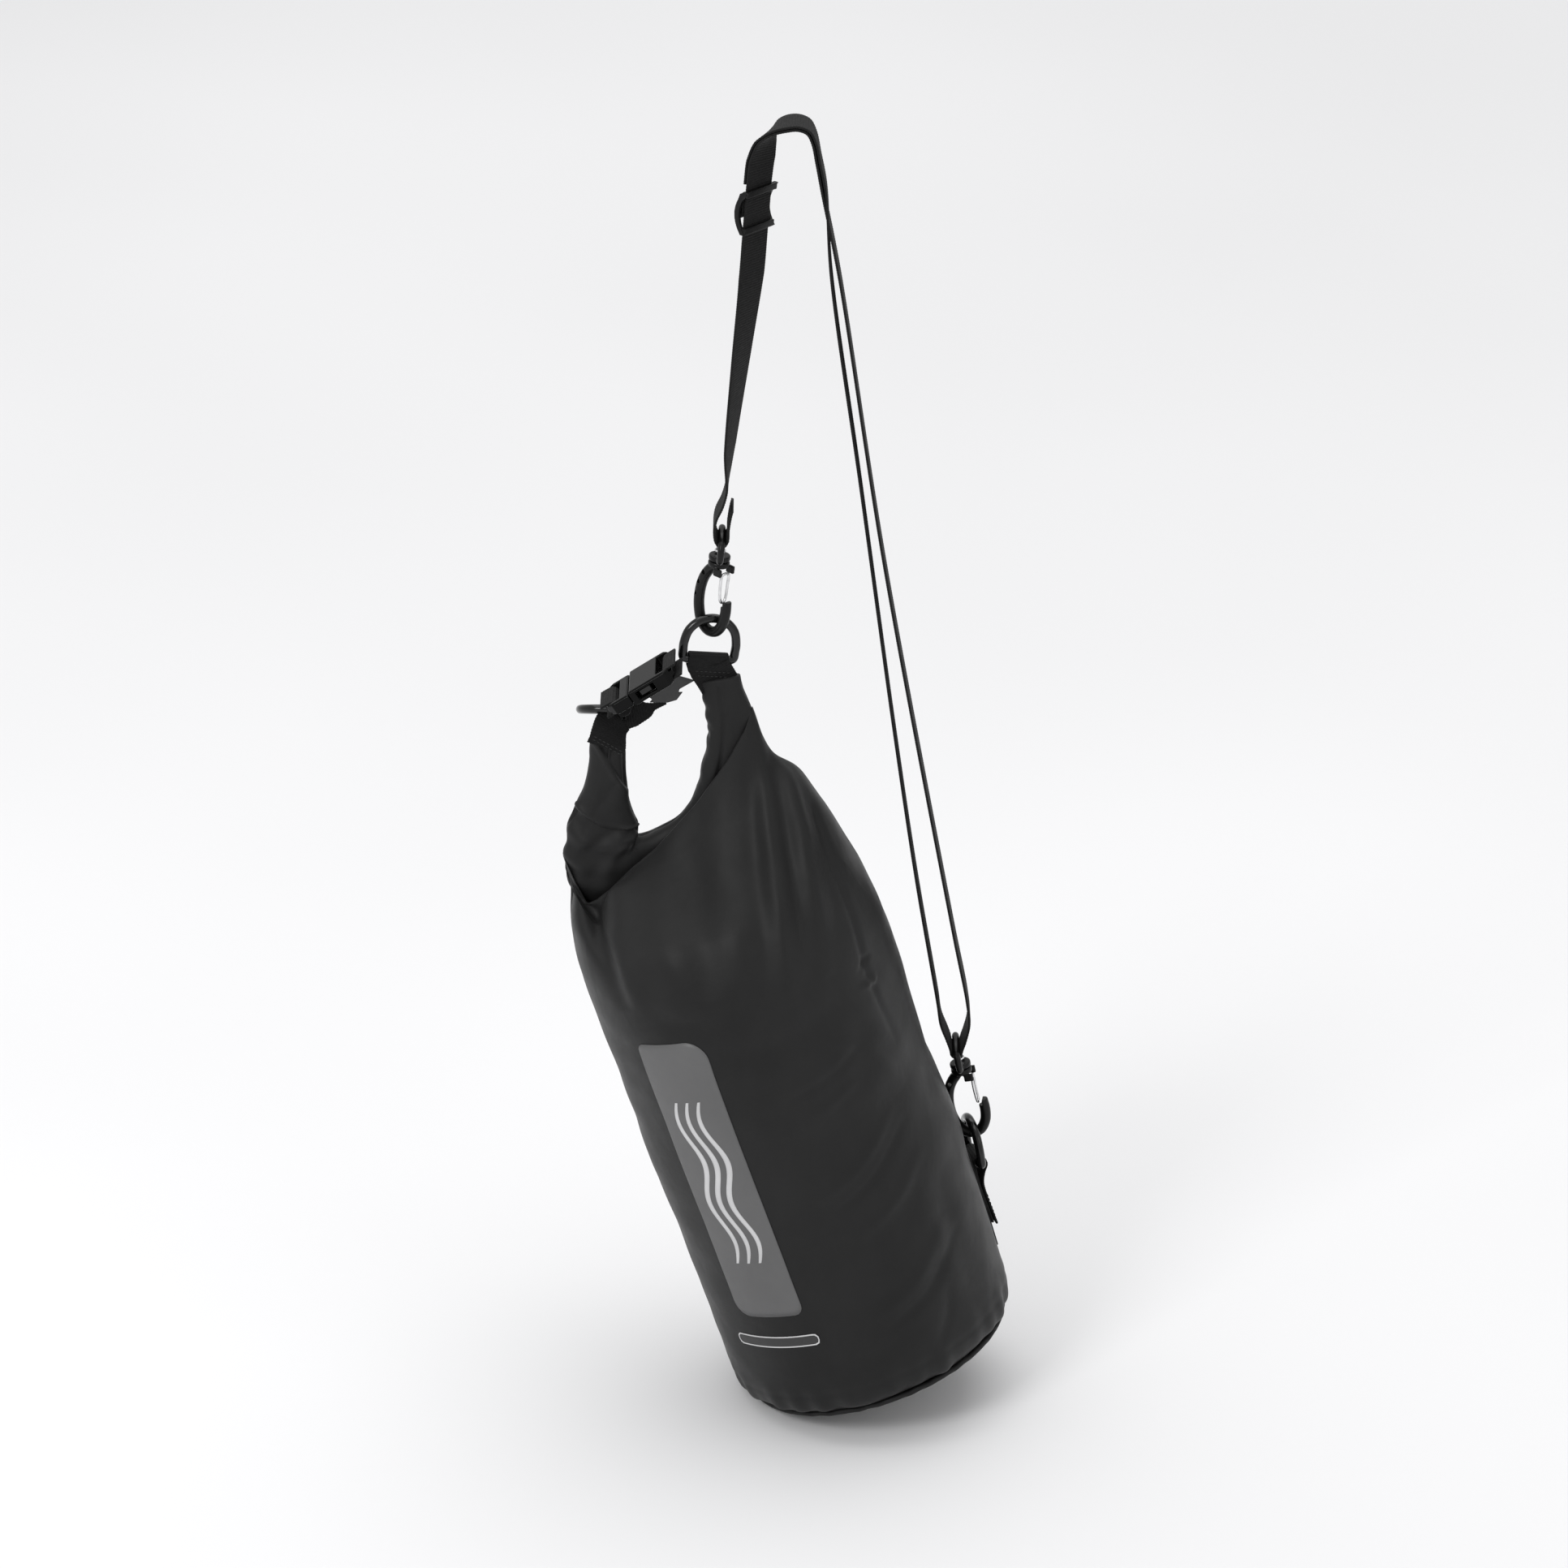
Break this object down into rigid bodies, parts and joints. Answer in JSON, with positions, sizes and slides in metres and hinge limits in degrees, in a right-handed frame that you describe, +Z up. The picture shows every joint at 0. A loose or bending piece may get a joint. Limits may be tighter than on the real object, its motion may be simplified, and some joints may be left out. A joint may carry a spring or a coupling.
{
  "type": "roll-top dry bag with shoulder strap",
  "caption": "Filled cylindrical roll-top waterproof bag hanging from a webbing shoulder strap with slider, swivel snap hooks, D-rings and a side-release buckle.",
  "frame": {"origin": "hanging point: the top of the strap's bend over its support", "axes": "+Z up, against gravity as it hangs; -Y out of the front of the bag, where the grey panel is seen; +X towards the side with the long strand of the strap and the lower hook"},
  "size_m": [0.2777, 0.186, 0.8473],
  "materials": {
    "fabric": "woven coated nylon, soft sheen",
    "film": "printed film, satin",
    "webbing": "ribbed polyester webbing",
    "plastic": "moulded acetal, semi-gloss",
    "tab": "matte moulded",
    "steel": "bright wire"
  },
  "bodies": {
    "bag": {"bag_body": "fabric", "base_disc": "fabric", "base_seam": "fabric", "roll_top": "fabric", "anchor_patch": "fabric", "front_panel": "film", "label_band": "film", "anchor_webbing": "webbing", "closure_webbing": "webbing", "ring_keeper_webbing": "webbing", "mouth_webbing": "webbing", "buckle_webbing_right": "webbing", "strap_webbing": "webbing", "mouth_stiffener": "plastic", "buckle_female": "plastic", "upper_swivel_eye": "plastic", "lower_swivel_eye": "plastic", "closure_tab": "tab"},
    "buckle_plug": {"buckle_male": "plastic", "buckle_webbing_left": "webbing", "buckle_prong_front": "plastic", "buckle_prong_back": "plastic"},
    "ring_upper": {"d_ring_upper": "plastic"},
    "ring_left": {"d_ring_left": "plastic"},
    "ring_lower": {"d_ring_lower": "plastic"},
    "hook_upper": {"upper_hook_body": "plastic", "upper_swivel_pin": "steel"},
    "gate_upper": {"upper_hook_gate": "steel"},
    "hook_lower": {"lower_hook_body": "plastic", "lower_swivel_pin": "steel"},
    "gate_lower": {"lower_hook_gate": "steel"},
    "adjuster": {"strap_slider": "plastic", "strap_end_loop": "webbing"}
  },
  "joints": [
    {"name": "buckle_release", "type": "slide", "parent": "bag", "child": "buckle_plug", "axis": [-0.8387, 0, -0.5446], "range_m": [0, 0.02], "deforming": ["buckle_prong_front", "buckle_prong_back"]},
    {"name": "left_ring_turn", "type": "hinge", "parent": "bag", "child": "ring_left", "pos_m": [-0.104, 0.015, -0.3826], "axis": [0, 0.9136, -0.4067], "range_deg": [-20, 20]},
    {"name": "upper_ring_turn", "type": "hinge", "parent": "bag", "child": "ring_upper", "pos_m": [-0.0523, 0.00025, -0.343], "axis": [0.9686, 0.2059, -0.1392], "range_deg": [-1, 1]},
    {"name": "lower_ring_turn", "type": "hinge", "parent": "bag", "child": "ring_lower", "pos_m": [0.11623, 0.03555, -0.70265], "axis": [-0.245, 0.966, -0.083], "range_deg": [-1.5, 4]},
    {"name": "upper_swivel", "type": "hinge", "parent": "bag", "child": "hook_upper", "pos_m": [-0.045, 0, -0.2775], "axis": [0.1045, 0, 0.9945], "range_deg": [-28, 2.5]},
    {"name": "upper_gate_turn", "type": "hinge", "parent": "hook_upper", "child": "gate_upper", "pos_m": [-0.04134, -0.00401, -0.28533], "axis": [0.6653, 0.7433, -0.07], "range_deg": [0, 30], "stiffness_Nm_per_rad": 0.006, "springref_deg": -20.05},
    {"name": "lower_swivel", "type": "hinge", "parent": "bag", "child": "hook_lower", "pos_m": [0.1064, 0.035, -0.638], "axis": [-0.2079, 0, 0.9781], "range_deg": [-8, 12]},
    {"name": "lower_gate_turn", "type": "hinge", "parent": "hook_lower", "child": "gate_lower", "pos_m": [0.11375, 0.03417, -0.644], "axis": [0.136, 0.9903, 0.029], "range_deg": [0, 30], "stiffness_Nm_per_rad": 0.006, "springref_deg": -20.05},
    {"name": "slider_slide", "type": "slide", "parent": "bag", "child": "adjuster", "axis": [-0.0793, 0, -0.9968], "range_m": [0, 0.022]}
  ]
}
